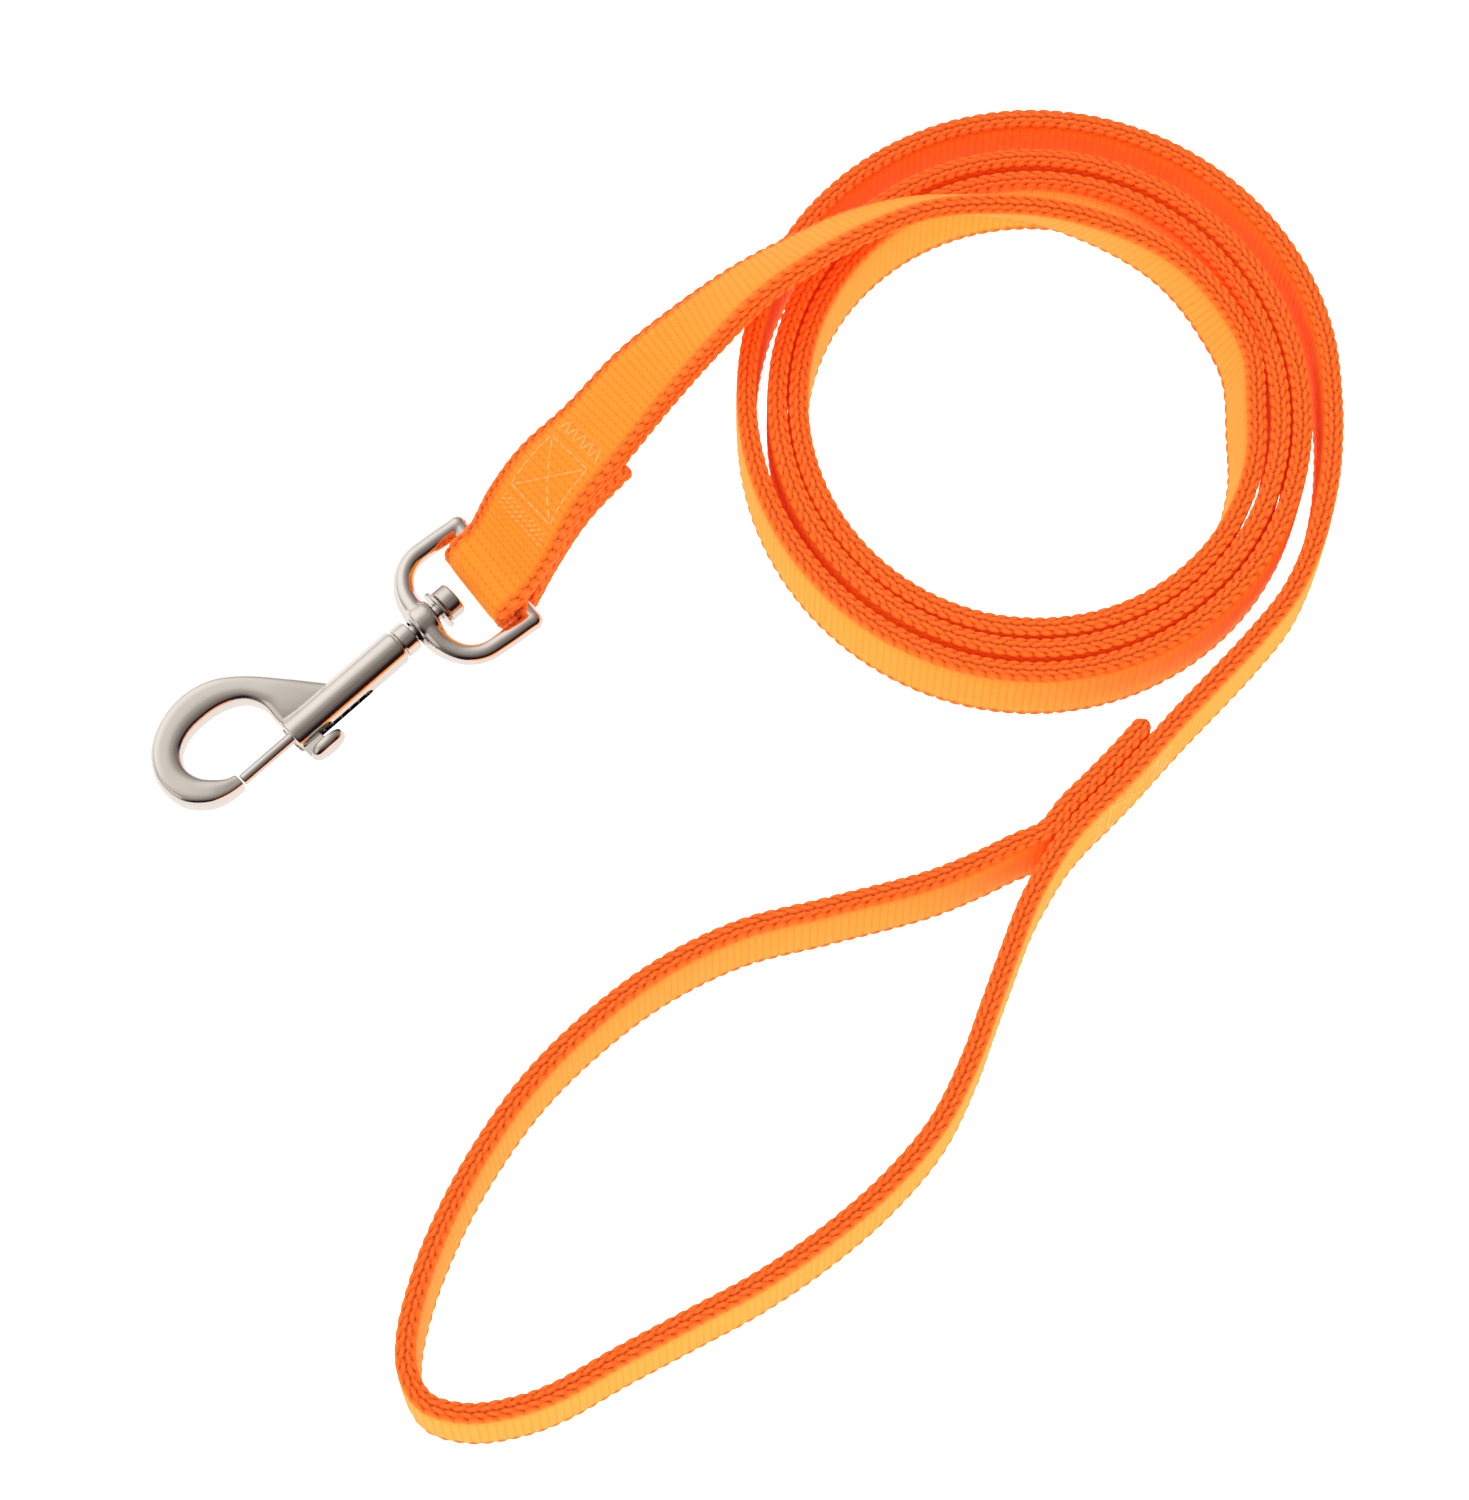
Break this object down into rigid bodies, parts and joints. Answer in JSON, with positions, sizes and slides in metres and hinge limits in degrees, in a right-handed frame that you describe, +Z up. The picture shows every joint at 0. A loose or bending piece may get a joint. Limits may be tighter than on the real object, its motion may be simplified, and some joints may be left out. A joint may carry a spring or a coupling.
{
  "type": "training leash",
  "caption": "Training leash of thick woven webbing with a sewn hand loop and a swivel bolt snap, lying with its middle wound in a coil.",
  "frame": {"origin": "on the table, under the middle of the whole leash as it lies", "axes": "+Z up from the table; +X towards the coil, with the hook on the -X side; +Y from the hand loop towards the coil"},
  "size_m": [0.2438, 0.2805, 0.0395],
  "materials": {
    "webbing": "woven, ribbed across its width",
    "thread": "twisted polyester thread",
    "nickel": "polished nickel plate",
    "steel": "turned, nickel plated"
  },
  "bodies": {
    "lead": {"webbing_hook_loop": "webbing", "webbing_lead_in": "webbing", "webbing_coil_inner_turn": "webbing", "webbing_coil_middle_turn": "webbing", "webbing_coil_outer_turn": "webbing", "webbing_lead_out": "webbing", "webbing_hand_loop": "webbing", "hook_box_stitch": "thread", "hook_inner_bar_tack": "thread", "hook_outer_bar_tack": "thread", "handle_box_stitch": "thread", "handle_upper_bar_tack": "thread", "handle_lower_bar_tack": "thread"},
    "eye": {"swivel_eye": "nickel"},
    "snap": {"snap_body": "nickel", "swivel_pin": "steel", "swivel_washer": "steel", "bolt_spring": "steel"},
    "bolt": {"bolt": "steel", "thumb_stud": "nickel"}
  },
  "joints": [
    {"name": "eye_pivot", "type": "hinge", "parent": "lead", "child": "eye", "pos_m": [-0.0526, 0.0396, 0.0064], "axis": [-0.6018, 0.7986, 0], "range_deg": [-80, 80]},
    {"name": "swivel", "type": "hinge", "parent": "eye", "child": "snap", "pos_m": [-0.06692, 0.02881, 0.0057], "axis": [0.7308, 0.6815, 0.039], "continuous": true},
    {"name": "bolt_slide", "type": "slide", "parent": "snap", "child": "bolt", "axis": [0.7308, 0.6815, 0.039], "range_m": [0, 0.0135], "stiffness_N_per_m": 250, "springref_m": -0.004, "deforming": ["bolt_spring"]}
  ]
}
